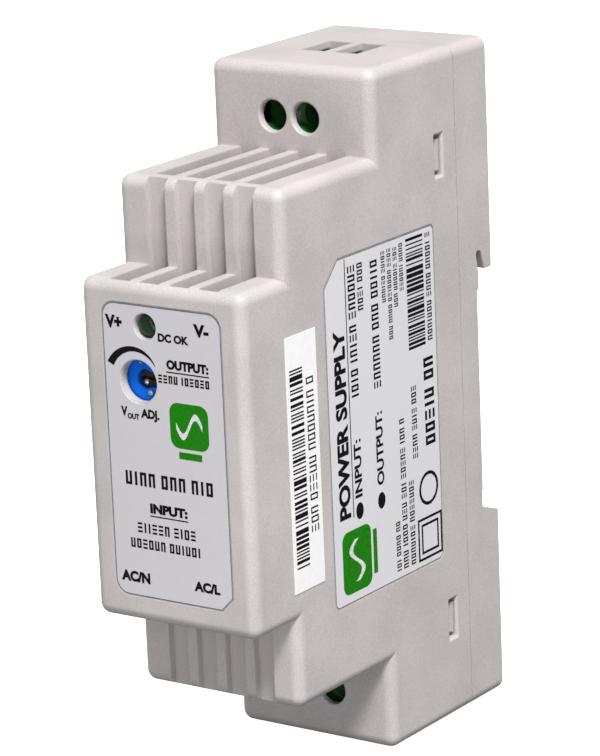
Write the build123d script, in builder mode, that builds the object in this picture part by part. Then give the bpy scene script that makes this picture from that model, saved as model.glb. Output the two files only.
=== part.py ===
"""DIN-rail power supply: a 25 mm wide stepped plastic housing with everything it holds.

Frame: the origin is on the DIN-rail seat, on the rail's centre line.  +X is to the right seen from
the front, +Y points back into the rail and the wall, +Z is up.  All lengths are in millimetres.
"""
import os

from build123d import *

os.makedirs("parts", exist_ok=True)

# --------------------------------------------------------------------------- driving dimensions
WIDTH = 25.0
HEIGHT = 91.0
DEPTH = 57.5
WALL = 1.8
FRONT_WALL = 1.4
TERMINAL_WALL = 1.0
EDGE_R = 1.5

HALF = WIDTH / 2
INNER = HALF - WALL
BOTTOM_Z = -44.9
TOP_Z = BOTTOM_Z + HEIGHT
MIDDLE_Z = (BOTTOM_Z + TOP_Z) / 2
BACK_Y = 4.1
FRONT_Y = BACK_Y - DEPTH
MID_Y = FRONT_Y + 8.9
TERMINAL_Y = FRONT_Y + 29.7
SEAM_Y = -4.2

# front face, lower end, upper end and front wall of each of the three steps
STEPS = (
    (FRONT_Y, -20.8, 23.6, FRONT_WALL),
    (MID_Y, -32.6, 34.8, WALL),
    (TERMINAL_Y, BOTTOM_Z, TOP_Z, TERMINAL_WALL),
)
FRONT_LOW, FRONT_HIGH = STEPS[0][1:3]
MID_LOW, MID_HIGH = STEPS[1][1:3]

# ventilation: four slots side by side
SLOT_W = 2.95
SLOT_X = [0.2 + 4.5 * (i - 1.5) for i in range(4)]
GROOVE_DEPTH = 1.0
FRONT_SLOT_START = FRONT_Y + 0.95
MID_SLOT_START = MID_Y + 2.3

# label and sticker fields
LABEL_RECESS = 0.25
LABEL_THICK = 0.2
FRONT_LABEL = (-9.15, 9.2, -17.4, 20.9)
LABEL_GAP = 0.08
SIDE_RECESS = 0.2
SIDE_THICK = 0.16
SIDE_LABEL = (-35.9, -10.15, -21.9, 23.7)
STICKER = (-44.8, -38.2, -17.0, 16.2)
STICKER_THICK = 0.1

# indicator and trimmer seen through the front
LED_X, LED_Z = -2.5, 18.1
LED_HOLE_R = 1.65
LED_R = 1.4
LED_TIP_Y = FRONT_Y + 0.5
TRIM_X, TRIM_Z = -3.9, 10.9
TRIM_HOLE_R = 2.75
TRIM_FACE_Y = FRONT_Y + 1.65
TRIM_SIDE = 6.6
TRIM_COLLAR_R = 2.9
TRIM_SLOT = (1.0, 0.7)
ROTOR_R = 1.2
ROTOR_FIT = 0.05

# screw terminals: two poles at each end, the lower set is the upper one turned over
PITCH = 5.08
TERMINAL_X = -0.25
POLE_X = (TERMINAL_X - PITCH / 2, TERMINAL_X + PITCH / 2)
SCREW_Z = TOP_Z - 6.9
SCREW_HOLE_R = 2.05
RIM = 0.2
WIRE_W = 3.7
WIRE_Y = (-14.1, -7.3)
WIRE_WALL = 0.9

# closing snaps: windows in the cover's sides, tabs on the base
SNAP_Y = (-9.2, -7.45)
SNAP_HALF = 2.7
SNAP_Z = (32.3, 1.2 - 32.3)

# rail seat
RAIL = 35.0
SEAT_HIGH = 12.3
SEAT_LOW = -15.2
RELIEF = 0.15
RIB = 0.45
HOOK_LIP_Z = 15.0
HOOK_ROOT_Z = RAIL / 2 + 0.1
BLOCK_TOP_Z = -(RAIL / 2 + 0.2)

# boards
BOARD = 1.6
MAIN_Y = -8.3
MAIN_HALF = 10.2
LEAD_END_Y = MAIN_Y + BOARD + 1.3
FRONT_BOARD_Y = LED_TIP_Y + 6.8
RISER_X = (-8.9, -7.3)
RISER_Z = (-4.0, 16.0)
LEAD_R = 0.3
HOLE_R = 0.42

TURN_AXIS = Axis((0, 0, MIDDLE_Z), (0, 1, 0))


# --------------------------------------------------------------------------------- small helpers
def facing_front(y):
    """A sketch plane at depth y whose sketch reads as (X, Z) and extrudes towards the front."""
    return Plane.XZ.offset(-y)


def block(x, y, z, mode=Mode.ADD):
    """A box between pairs of limits, added to or cut from the part being built."""
    with Locations(((x[0] + x[1]) / 2, (y[0] + y[1]) / 2, (z[0] + z[1]) / 2)):
        Box(x[1] - x[0], y[1] - y[0], z[1] - z[0], mode=mode)


def rod(x, z, y, radius, mode=Mode.ADD):
    """A round bar along Y between two depths."""
    with Locations((x, (y[0] + y[1]) / 2, z)):
        Cylinder(radius, y[1] - y[0], rotation=(90, 0, 0), mode=mode)


def save(builder, label):
    """Label a finished piece and write its STEP."""
    builder.part.label = label
    export_step(builder.part, f"parts/{label}.step")


def save_turned(builder, label):
    """The same piece turned over end for end, for the lower terminals."""
    turned = builder.part.rotate(TURN_AXIS, 180)
    turned.label = label
    export_step(turned, f"parts/{label}.step")


# ------------------------------------------------------------------------- label outlines, shared
def front_field(y, inset=0.0):
    """Outline of the front label: three round corners, one cut.  Its own Y is the part's Z."""
    x0, x1, z0, z1 = FRONT_LABEL
    with BuildSketch(facing_front(y)) as field:
        with Locations(((x0 + x1) / 2, (z0 + z1) / 2)):
            Rectangle(x1 - x0, z1 - z0)
        right = field.vertices().group_by(Axis.X)[-1].sort_by(Axis.Y)
        left = field.vertices().group_by(Axis.X)[0]
        fillet([right[-1], *left], 2.0)
        chamfer(field.vertices().group_by(Axis.Y)[0].sort_by(Axis.X)[-1], 1.8)
        if inset:
            offset(amount=-inset)
    return field.sketch


def side_field(x, inset=0.0):
    """Outline of the side label: one cut corner, three round.  Its own X is the part's Y."""
    y0, y1, z0, z1 = SIDE_LABEL
    with BuildSketch(Plane.YZ.offset(x)) as field:
        with Locations(((y0 + y1) / 2, (z0 + z1) / 2)):
            Rectangle(y1 - y0, z1 - z0)
        rear = field.vertices().group_by(Axis.X)[-1]
        low_front = field.vertices().group_by(Axis.X)[0].sort_by(Axis.Y)[0]
        fillet([*rear, low_front], 1.0)
        chamfer(field.vertices().group_by(Axis.Y)[-1].sort_by(Axis.X)[0], 3.2)
        if inset:
            offset(amount=-inset)
    return field.sketch


# ------------------------------------------------------------------------------------ front cover
CONCAVE = ((MID_Y, FRONT_LOW), (MID_Y, FRONT_HIGH), (TERMINAL_Y, MID_LOW), (TERMINAL_Y, MID_HIGH))
BOARD_POST = [(x, z) for x in (-7.8, 7.8) for z in (18.6, -15.8)]


def is_inside_corner(edge):
    """True for the step corners, where two faces meet in a hollow."""
    middle = edge.center()
    near = [abs(middle.Y - y) + abs(middle.Z - z) < 0.01 for y, z in CONCAVE]
    return abs(middle.X) < 0.01 and any(near)


with BuildPart() as front_cover:
    for face_y, low, high, _ in STEPS:
        block((-HALF, HALF), (face_y, SEAM_Y), (low, high))
    outer = [e for e in front_cover.edges() if e.center().Y < SEAM_Y - 0.01 and not is_inside_corner(e)]
    fillet(outer, EDGE_R)
    for face_y, low, high, wall in STEPS:
        block((-INNER, INNER), (face_y + wall, SEAM_Y + 1), (low + WALL, high - WALL), Mode.SUBTRACT)
    # ventilation slots through the four step faces, and the grooves that continue them
    for x in SLOT_X:
        across = (x - SLOT_W / 2, x + SLOT_W / 2)
        along_front = (FRONT_SLOT_START, MID_Y + GROOVE_DEPTH)
        along_mid = (MID_SLOT_START, TERMINAL_Y)
        groove = (MID_Y - 1, MID_Y + GROOVE_DEPTH)
        block(across, along_front, (FRONT_HIGH - WALL - 0.1, FRONT_HIGH + 0.5), Mode.SUBTRACT)
        block(across, along_front, (FRONT_LOW - 0.5, FRONT_LOW + WALL + 0.1), Mode.SUBTRACT)
        block(across, along_mid, (MID_HIGH - WALL - 0.1, MID_HIGH + 1), Mode.SUBTRACT)
        block(across, along_mid, (MID_LOW - 1, MID_LOW + WALL + 0.1), Mode.SUBTRACT)
        block(across, groove, (FRONT_HIGH - 0.1, MID_HIGH + 1), Mode.SUBTRACT)
        block(across, groove, (MID_LOW - 1, FRONT_LOW + 0.1), Mode.SUBTRACT)
    # screwdriver holes and wire openings of both terminal sets
    for side in (1, -1):
        for pole in POLE_X:
            x = side * pole
            z = MIDDLE_Z + side * (SCREW_Z - MIDDLE_Z)
            rod(x, z, (TERMINAL_Y - 1, TERMINAL_Y + WALL + 1), SCREW_HOLE_R, Mode.SUBTRACT)
            with Locations((x, TERMINAL_Y + RIM / 2, z)):
                Cone(SCREW_HOLE_R, SCREW_HOLE_R + RIM, RIM, rotation=(90, 0, 0), mode=Mode.SUBTRACT)
            outside = MIDDLE_Z + side * (HEIGHT / 2 + 1)
            inside = MIDDLE_Z + side * (HEIGHT / 2 - WALL - 0.1)
            block((x - WIRE_W / 2, x + WIRE_W / 2), WIRE_Y, sorted((inside, outside)), Mode.SUBTRACT)
        # thinner wall round the wire openings, up to their rear edge
        thinned_x = sorted((side * (TERMINAL_X - PITCH), side * (TERMINAL_X + PITCH)))
        thinned_z = sorted((inside, MIDDLE_Z + side * (HEIGHT / 2 - WIRE_WALL)))
        block(thinned_x, (WIRE_Y[0] - 0.6, WIRE_Y[1]), thinned_z, Mode.SUBTRACT)
    # windows for the closing snaps
    for side in (1, -1):
        through = sorted((side * (INNER - 1), side * (HALF + 1)))
        for z in SNAP_Z:
            block(through, SNAP_Y, (z - SNAP_HALF, z + SNAP_HALF), Mode.SUBTRACT)
    window_rims = [e for e in front_cover.edges()
                   if abs(abs(e.center().X) - HALF) < 0.01
                   and SNAP_Y[0] - 0.01 < e.center().Y < SNAP_Y[1] + 0.01
                   and 25 < abs(e.center().Z) < 40]
    chamfer(window_rims, 0.3)
    # label recesses, indicator and trimmer holes
    extrude(front_field(FRONT_Y), amount=-LABEL_RECESS, mode=Mode.SUBTRACT)
    extrude(side_field(HALF), amount=-SIDE_RECESS, mode=Mode.SUBTRACT)
    rod(LED_X, LED_Z, (FRONT_Y - 1, FRONT_Y + WALL + 1), LED_HOLE_R, Mode.SUBTRACT)
    rod(TRIM_X, TRIM_Z, (FRONT_Y - 1, FRONT_Y + WALL + 1), TRIM_HOLE_R, Mode.SUBTRACT)
    # posts with pins that carry the front board, and ribs that hold the main board down
    for x, z in BOARD_POST:
        rod(x, z, (FRONT_Y + FRONT_WALL - 0.2, FRONT_BOARD_Y), 1.5)
        rod(x, z, (FRONT_BOARD_Y - 0.1, FRONT_BOARD_Y + BOARD + 0.5), 0.75)
    for side in (1, -1):
        rib = sorted((side * (INNER - 0.9), side * (INNER + 0.2)))
        for z in (26.2, -18.4):
            block(rib, (TERMINAL_Y, MAIN_Y), (z - 0.6, z + 0.6))
save(front_cover, "front_cover")

# ----------------------------------------------------------------------------- labels and sticker
with BuildPart() as front_label:
    extrude(front_field(FRONT_Y + LABEL_RECESS, LABEL_GAP), amount=LABEL_THICK)
    rod(LED_X, LED_Z, (FRONT_Y - 1, FRONT_Y + 1), LED_HOLE_R + 0.1, Mode.SUBTRACT)
    rod(TRIM_X, TRIM_Z, (FRONT_Y - 1, FRONT_Y + 1), TRIM_HOLE_R + 0.15, Mode.SUBTRACT)
save(front_label, "front_label")

with BuildPart() as side_label:
    extrude(side_field(HALF - SIDE_RECESS, LABEL_GAP), amount=SIDE_THICK)
save(side_label, "side_label")

with BuildPart() as barcode_sticker:
    block((HALF, HALF + STICKER_THICK), STICKER[:2], STICKER[2:])
save(barcode_sticker, "barcode_sticker")

# -------------------------------------------------------------------------------------- rear base
CHANNEL_WIDE = (6.6, 0.7, 2.4)
CHANNEL_SLOT = 5.1
SPRING_Y = 2.3
SPRING_Z = (-36.0, -24.0)
LEDGE_Z = (-38.0, SPRING_Z[0])
FLOOR_Y = -1.9
ARM_X = (9.4, 10.5)
ARM_HALF = 2.3
BARB_X = 12.0
BARB_HALF = 2.1
BASE_POST = ((8.0, 41.6), (-8.2, 41.6), (8.2, -40.4), (-8.0, -40.4))

with BuildPart() as rear_base:
    with BuildSketch(Plane.YZ):
        with BuildLine():
            Polyline(
                (SEAM_Y, BOTTOM_Z),
                (BACK_Y, BOTTOM_Z),
                (BACK_Y, BLOCK_TOP_Z - 1.4),
                (-RELIEF, BLOCK_TOP_Z),
                (-RELIEF, SEAT_LOW - RELIEF),
                (0, SEAT_LOW),
                (0, SEAT_HIGH),
                (RIB, SEAT_HIGH + 0.3),
                (RIB, HOOK_LIP_Z - 0.4),
                (0, HOOK_ROOT_Z - 0.2),
                (0.3, HOOK_ROOT_Z + 0.1),
                (0.9, HOOK_ROOT_Z + 0.1),
                (1.2, HOOK_ROOT_Z - 0.2),
                (2.0, HOOK_LIP_Z),
                (BACK_Y, HOOK_LIP_Z),
                (BACK_Y, TOP_Z),
                (SEAM_Y, TOP_Z),
                close=True,
            )
        make_face()
    extrude(amount=HALF, both=True)
    long_edges = [e for e in rear_base.edges().filter_by(Axis.Y)
                  if abs(e.center().Z - MIDDLE_Z) > HEIGHT / 2 - 0.01]
    fillet(long_edges, EDGE_R)
    rear_edges = [e for e in rear_base.edges().group_by(Axis.Y)[-1]
                  if e.center().Y > BACK_Y - 0.01]
    fillet(rear_edges, 0.6)
    # hollow: a shallow tray behind the main board and a deep pocket in the hook block
    block((-INNER, INNER), (SEAM_Y - 1, FLOOR_Y), (BOTTOM_Z + WALL, TOP_Z - WALL), Mode.SUBTRACT)
    block((-INNER, INNER), (SEAM_Y - 1, BACK_Y - WALL), (HOOK_ROOT_Z + 2.0, TOP_Z - WALL), Mode.SUBTRACT)
    # stepped channel for the sliding foot, open to the rear, the top and the bottom of its block
    foot_run = (BOTTOM_Z - 1, BLOCK_TOP_Z + 1)
    block((-CHANNEL_WIDE[0], CHANNEL_WIDE[0]), CHANNEL_WIDE[1:], foot_run, Mode.SUBTRACT)
    block((-CHANNEL_SLOT, CHANNEL_SLOT), (CHANNEL_WIDE[2] - 0.1, BACK_Y + 1), foot_run, Mode.SUBTRACT)
    # ledge that the foot's spring pushes against
    block((-1.4, 1.4), (CHANNEL_WIDE[1] - 0.1, 3.5), LEDGE_Z)
    # closing arms with barbs, one pair at each end
    for side in (1, -1):
        for z in SNAP_Z:
            root_y = BACK_Y - WALL if z > 0 else FLOOR_Y
            arm = sorted((side * ARM_X[0], side * ARM_X[1]))
            web = sorted((side * (ARM_X[1] - 0.1), side * (INNER + 0.1)))
            block(arm, (SNAP_Y[0] - 0.5, root_y), (z - ARM_HALF, z + ARM_HALF))
            block(web, (SEAM_Y + 0.6, root_y), (z - ARM_HALF, z + ARM_HALF))
            with BuildSketch(Plane.XY.offset(z - BARB_HALF)):
                with BuildLine():
                    Polyline(
                        (side * ARM_X[0], SNAP_Y[0] + 0.2),
                        (side * ARM_X[1], SNAP_Y[0] + 0.2),
                        (side * BARB_X, SNAP_Y[1] - 0.65),
                        (side * BARB_X, SNAP_Y[1] - 0.15),
                        (side * ARM_X[0], SNAP_Y[1] - 0.15),
                        close=True,
                    )
                make_face()
            extrude(amount=2 * BARB_HALF)
    # posts that the main board rests on, with locating pins
    for x, z in BASE_POST:
        floor = BACK_Y - WALL if z > 0 else FLOOR_Y
        rod(x, z, (MAIN_Y + BOARD, floor + 0.1), 1.6)
        rod(x, z, (MAIN_Y - 0.6, MAIN_Y + BOARD + 0.1), 0.85)
save(rear_base, "rear_base")

# --------------------------------------------------------------------------- sliding rail foot
FOOT_TOP = -15.9
FOOT_BOTTOM = BOTTOM_Z + 0.2
FOOT_SHOULDER = BLOCK_TOP_Z - 0.3

with BuildPart() as din_foot:
    block((-6.4, 6.4), (0.9, 2.2), (FOOT_BOTTOM, FOOT_SHOULDER))
    block((-4.9, 4.9), (2.1, 3.9), (FOOT_BOTTOM, FOOT_SHOULDER))
    with BuildSketch(Plane.YZ):
        with BuildLine():
            Polyline(
                (1.2, FOOT_SHOULDER - 0.1),
                (1.2, FOOT_TOP),
                (1.9, FOOT_TOP),
                (3.9, FOOT_TOP - 2.0),
                (3.9, FOOT_SHOULDER - 0.1),
                close=True,
            )
        make_face()
    extrude(amount=4.9, both=True)
    block((-1.6, 1.6), (0, 5), (LEDGE_Z[0] - 0.05, SPRING_Z[1]), Mode.SUBTRACT)
    block((-2.6, 2.6), (0, 5), (FOOT_BOTTOM + 1.3, FOOT_BOTTOM + 3.1), Mode.SUBTRACT)
    ridge_ends = [e for e in din_foot.edges().filter_by(Axis.Z)
                  if abs(abs(e.center().X) - 4.9) < 0.01 and e.center().Y > 3.8]
    chamfer(ridge_ends, 0.4)
save(din_foot, "din_foot")

WIRE_R = 0.2
COIL_R = 1.1
with BuildPart() as foot_spring:
    start_z = SPRING_Z[0] + WIRE_R
    with BuildLine():
        length = SPRING_Z[1] - SPRING_Z[0] - 2 * WIRE_R
        coil = Helix(1.2, length, COIL_R, center=(0, SPRING_Y, start_z))
    with BuildSketch(Plane(origin=coil @ 0, z_dir=coil % 0)):
        Circle(WIRE_R)
    sweep(path=coil, is_frenet=True)
save(foot_spring, "foot_spring")

# --------------------------------------------------------------------------------- screw terminals
HOUSE_Z = (33.6, 44.0)
HOUSE_Y = (TERMINAL_Y + 3.2, MAIN_Y)
HOUSE_HALF = 5.4
SILL_Y = TERMINAL_Y + TERMINAL_WALL + 0.15
SILL_Z = (SCREW_Z - 3.4, SCREW_Z - 1.4)
SEAT_Y = -16.7
SHOULDER_Y = -15.9
HEAD_R = 1.95
HEAD_H = 1.4
SHANK_R = 1.45
CAGE_Y = (-14.35, -9.15)
CAGE_HALF = (2.1, 2.3)
CAGE_TOP = 1.0
CAGE_FOOT = 0.7
BAR_Y = (-13.3, -12.6)
PIN_Z = (35.2, 36.2)

with BuildPart() as output_terminal_housing:
    block((TERMINAL_X - HOUSE_HALF, TERMINAL_X + HOUSE_HALF), HOUSE_Y, HOUSE_Z)
    front_edges = output_terminal_housing.edges().group_by(Axis.Y)[0]
    chamfer(front_edges, 0.4)
    # sill that leads the screwdriver in, with the wells running out over it
    sill_x = (TERMINAL_X - HOUSE_HALF + 0.5, TERMINAL_X + HOUSE_HALF - 0.5)
    block(sill_x, (SILL_Y, HOUSE_Y[0] + 0.5), SILL_Z)
    for x in POLE_X:
        rod(x, SCREW_Z, (SILL_Y - 1, SEAT_Y), HEAD_R + 0.2, Mode.SUBTRACT)
        rod(x, SCREW_Z, (SEAT_Y - 1, SHOULDER_Y + 1), SHANK_R + 0.15, Mode.SUBTRACT)
        cage_room = (SCREW_Z - CAGE_HALF[1] - 0.2, SCREW_Z + CAGE_HALF[1] + 0.2)
        wire_room = (SCREW_Z, HOUSE_Z[1] + 1)
        pin_room = (PIN_Z[0] - 0.1, PIN_Z[1] + 0.4)
        bar_room = (PIN_Z[0], SCREW_Z)
        cage_depth = (SHOULDER_Y - 0.1, CAGE_Y[1] + 0.1)
        wire_depth = (BAR_Y[0] - 0.5, CAGE_Y[1] + 0.1)
        block((x - 2.2, x + 2.2), cage_depth, cage_room, Mode.SUBTRACT)
        block((x - 1.8, x + 1.8), wire_depth, wire_room, Mode.SUBTRACT)
        block((x - 1.35, x + 1.35), (BAR_Y[0] - 0.1, MAIN_Y + 1), pin_room, Mode.SUBTRACT)
        block((x - 1.35, x + 1.35), (BAR_Y[0] - 0.1, BAR_Y[1] + 0.1), bar_room, Mode.SUBTRACT)
save(output_terminal_housing, "output_terminal_housing")
save_turned(output_terminal_housing, "input_terminal_housing")

for number, x in enumerate(POLE_X, start=1):
    with BuildPart() as screw:
        rod(x, SCREW_Z, (SEAT_Y - HEAD_H, SEAT_Y), HEAD_R)
        chamfer(screw.edges().group_by(Axis.Y)[0], 0.2)
        rod(x, SCREW_Z, (SEAT_Y - 0.1, BAR_Y[0] - 0.05), SHANK_R)
        slot_depth = (SEAT_Y - HEAD_H - 1, SEAT_Y - HEAD_H + 0.9)
        block((x - 3, x + 3), slot_depth, (SCREW_Z - 0.35, SCREW_Z + 0.35), Mode.SUBTRACT)
    save(screw, f"output_screw_{number}")
    save_turned(screw, f"input_screw_{number}")

    with BuildPart() as clamp_cage:
        across = (x - CAGE_HALF[0], x + CAGE_HALF[0])
        block(across, CAGE_Y, (SCREW_Z - CAGE_HALF[1], SCREW_Z + CAGE_HALF[1]))
        window = (CAGE_Y[0] + CAGE_TOP, CAGE_Y[1] - CAGE_FOOT)
        block((x - 1.45, x + 1.45), window, (SCREW_Z - 3, SCREW_Z + 3), Mode.SUBTRACT)
        rod(x, SCREW_Z, (CAGE_Y[0] - 1, CAGE_Y[0] + 2), SHANK_R + 0.05, Mode.SUBTRACT)
    save(clamp_cage, f"output_clamp_{number}")
    save_turned(clamp_cage, f"input_clamp_{number}")

    with BuildPart() as contact:
        block((x - 1.2, x + 1.2), BAR_Y, (PIN_Z[0], SCREW_Z + 2.0))
        block((x - 0.5, x + 0.5), (BAR_Y[0], LEAD_END_Y), PIN_Z)
    save(contact, f"output_contact_{number}")
    save_turned(contact, f"input_contact_{number}")

# ------------------------------------------------------------------------- indicator and trimmer
# each entry: the (x, z) places where a piece's leads pass through the board behind it
LED_LEADS = [(LED_X - 1.27, LED_Z), (LED_X + 1.27, LED_Z)]
TRIM_LEADS = [(TRIM_X - 2.5, TRIM_Z - 2.2), (TRIM_X + 2.5, TRIM_Z - 2.2), (TRIM_X, TRIM_Z + 2.4)]
FRONT_LEAD_END = FRONT_BOARD_Y + BOARD + 1.0

with BuildPart() as status_led:
    rod(LED_X, LED_Z, (FRONT_BOARD_Y - 1.0, FRONT_BOARD_Y), LED_R + 0.4)
    rod(LED_X, LED_Z, (LED_TIP_Y, FRONT_BOARD_Y), LED_R)
    fillet(status_led.edges().group_by(Axis.Y)[0], 0.6)
    for x, z in LED_LEADS:
        rod(x, z, (FRONT_BOARD_Y - 0.5, FRONT_LEAD_END), LEAD_R)
save(status_led, "status_led")

with BuildPart() as trimmer_body:
    half = TRIM_SIDE / 2
    case_depth = (TRIM_FACE_Y + 0.9, FRONT_BOARD_Y)
    block((TRIM_X - half, TRIM_X + half), case_depth, (TRIM_Z - half, TRIM_Z + half))
    chamfer(trimmer_body.edges().filter_by(Axis.Y), 0.5)
    rod(TRIM_X, TRIM_Z, (TRIM_FACE_Y, TRIM_FACE_Y + 1.2), TRIM_COLLAR_R)
    collar_slot = (TRIM_FACE_Y - 1, TRIM_FACE_Y + TRIM_SLOT[1])
    slot_z = (TRIM_Z - TRIM_SLOT[0], TRIM_Z + TRIM_SLOT[0])
    block((TRIM_X, TRIM_X + TRIM_COLLAR_R + 1), collar_slot, slot_z, Mode.SUBTRACT)
    rod(TRIM_X, TRIM_Z, (TRIM_FACE_Y - 1, TRIM_FACE_Y + 3.0), ROTOR_R + ROTOR_FIT, Mode.SUBTRACT)
    for x, z in TRIM_LEADS:
        rod(x, z, (FRONT_BOARD_Y - 0.5, FRONT_LEAD_END), LEAD_R)
save(trimmer_body, "trimmer_body")

ROTOR_Y = (TRIM_FACE_Y + 0.5, TRIM_FACE_Y + 2.95)
with BuildPart() as trimmer_rotor:
    rod(TRIM_X, TRIM_Z, ROTOR_Y, ROTOR_R)
    slot_depth = (ROTOR_Y[0] - 1, ROTOR_Y[0] + 0.6)
    block((TRIM_X - 2, TRIM_X + 2), slot_depth, (TRIM_Z - 0.22, TRIM_Z + 0.22), Mode.SUBTRACT)
save(trimmer_rotor, "trimmer_rotor")

# ------------------------------------------------------------------- components on the main board
LEADS = {
    "fuse": [(-7.2, -29.6), (-2.2, -29.6)],
    "inrush_thermistor": [(2.2, -29.6), (7.2, -29.6)],
    "varistor": [(-7.0, -24.0), (-2.0, -24.0)],
    "bridge_rectifier": [(x, z) for x in (2.8, 8.0) for z in (-25.4, -22.2)],
    "x_capacitor": [(-5.0, -17.5), (5.0, -17.5)],
    "choke": [(x, z) for x in (-3.0, 3.0) for z in (-12.75, -8.05)],
    "bulk_capacitor": [(1.3, -0.8), (6.3, -0.8)],
    "switching_transistor": [(-4.6, z) for z in (-3.34, -0.8, 1.74)],
    "transformer": [(x, z) for x in (-3.4, 0.1, 3.6, 7.1) for z in (6.4, 17.2)],
    "y_capacitor": [(-8.6, 18.6), (-8.6, 23.0)],
    "output_diode": [(-5.6, 22.0), (1.4, 22.0)],
    "output_inductor": [(4.2, 22.0), (8.6, 22.0)],
    "output_capacitor_1": [(-6.4, 29.0), (-3.0, 29.0)],
    "output_capacitor_2": [(2.5, 29.0), (5.9, 29.0)],
}


def add_leads(name, start_y):
    """The wire leads of a component, from inside its body to just past the board."""
    for x, z in LEADS[name]:
        rod(x, z, (start_y, LEAD_END_Y), LEAD_R)


with BuildPart() as fuse:
    block((-8.8, -0.6), (MAIN_Y - 8.0, MAIN_Y - 0.3), (-31.6, -27.6))
    fillet(fuse.edges().filter_by(Axis.Y), 0.5)
    add_leads("fuse", MAIN_Y - 1)
save(fuse, "fuse")


def disc_part(name, centre, radius, thickness, axis_along_x=False):
    """A disc on two leads, standing on edge on the main board: varistor, thermistor or capacitor."""
    turn = (0, 90, 0) if axis_along_x else (0, 0, 0)
    with BuildPart() as disc:
        with Locations((centre[0], MAIN_Y - 1.2 - radius, centre[1])):
            Cylinder(radius, thickness, rotation=turn)
        fillet(disc.edges().filter_by(GeomType.CIRCLE), thickness * 0.35)
        add_leads(name, MAIN_Y - 1.2 - radius)
    save(disc, name)


disc_part("inrush_thermistor", (4.7, -29.6), 4.0, 3.6)
disc_part("varistor", (-4.5, -24.0), 4.5, 3.8)
disc_part("y_capacitor", (-8.6, 20.8), 3.2, 2.4, axis_along_x=True)

with BuildPart() as bridge_rectifier:
    block((1.2, 9.6), (MAIN_Y - 3.5, MAIN_Y - 0.4), (-27.0, -20.6))
    chamfer(bridge_rectifier.edges().group_by(Axis.Y)[0], 0.5)
    add_leads("bridge_rectifier", MAIN_Y - 1)
save(bridge_rectifier, "bridge_rectifier")

with BuildPart() as x_capacitor:
    block((-6.5, 6.5), (MAIN_Y - 11.3, MAIN_Y - 0.3), (-20.0, -15.0))
    fillet(x_capacitor.edges().filter_by(Axis.Y), 0.4)
    add_leads("x_capacitor", MAIN_Y - 1)
save(x_capacitor, "x_capacitor")

CHOKE_Y = MAIN_Y - 7.6
CHOKE_Z = -10.4
with BuildPart() as choke_core:
    with Locations((0, CHOKE_Y, CHOKE_Z)):
        Cylinder(5.6, 3.8)
        Cylinder(3.2, 3.8, mode=Mode.SUBTRACT)
    fillet(choke_core.edges(), 0.5)
save(choke_core, "choke_core")

for number, side in enumerate((-1, 1), start=1):
    with BuildPart() as choke_winding:
        with BuildSketch(Plane.XZ.offset(-CHOKE_Y)):
            with Locations((side * 4.4, CHOKE_Z)):
                RectangleRounded(3.8, 5.4, 1.0)
                RectangleRounded(2.6, 4.0, 0.3, mode=Mode.SUBTRACT)
        revolve(axis=Axis((0, CHOKE_Y, CHOKE_Z), (0, 0, 1)), revolution_arc=65)
        mirror(about=Plane.XZ.offset(-CHOKE_Y))
        for x, z in LEADS["choke"]:
            if x * side > 0:
                rod(x, z, (CHOKE_Y + 3.0, LEAD_END_Y), LEAD_R)
    save(choke_winding, f"choke_winding_{number}")


def electrolytic(name, x, z, radius, height):
    """A can capacitor: rolled groove near its base, rounded rim, two leads."""
    with BuildPart() as can:
        rod(x, z, (MAIN_Y - height, MAIN_Y - 0.2), radius)
        fillet(can.edges().group_by(Axis.Y)[0], 0.5)
        with Locations((x, MAIN_Y - 2.6, z)):
            Torus(radius + 0.15, 0.45, rotation=(90, 0, 0), mode=Mode.SUBTRACT)
        add_leads(name, MAIN_Y - 1)
    save(can, name)


electrolytic("bulk_capacitor", 3.8, -0.8, 5.0, 21.0)
electrolytic("output_capacitor_1", -4.7, 29.0, 4.0, 12.0)
electrolytic("output_capacitor_2", 4.2, 29.0, 4.0, 12.0)

SINK_X = (-7.0, -6.0)
with BuildPart() as switching_transistor:
    block((SINK_X[1], -4.7), (-27.6, -12.0), (-5.8, 4.2))
    block((-4.8, -2.6), (-21.0, -12.0), (-5.8, 4.2))
    with Locations((SINK_X[1] + 0.5, -24.6, -0.8)):
        Cylinder(1.8, 5, rotation=(0, 90, 0), mode=Mode.SUBTRACT)
    add_leads("switching_transistor", -12.5)
save(switching_transistor, "switching_transistor")

with BuildPart() as heat_sink:
    block(SINK_X, (-30.0, MAIN_Y), (-6.0, 4.4))
    block((-7.1, -2.0), (-30.0, -29.0), (-6.0, 4.4))
save(heat_sink, "heat_sink")

CORE_X = (-6.2, 9.8)
CORE_Y = (-24.7, -10.3)
CORE_Z = (9.3, 14.3)
COIL_X = 1.8
COIL_Z = 11.8
with BuildPart() as transformer_core:
    block(CORE_X, CORE_Y, CORE_Z)
    for window in ((CORE_X[0] + 2.0, COIL_X - 2.0), (COIL_X + 2.0, CORE_X[1] - 2.0)):
        limb_gap = (CORE_Y[0] + 2.0, CORE_Y[1] - 2.0)
        block(window, limb_gap, (CORE_Z[0] - 1, CORE_Z[1] + 1), Mode.SUBTRACT)
save(transformer_core, "transformer_core")

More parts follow.
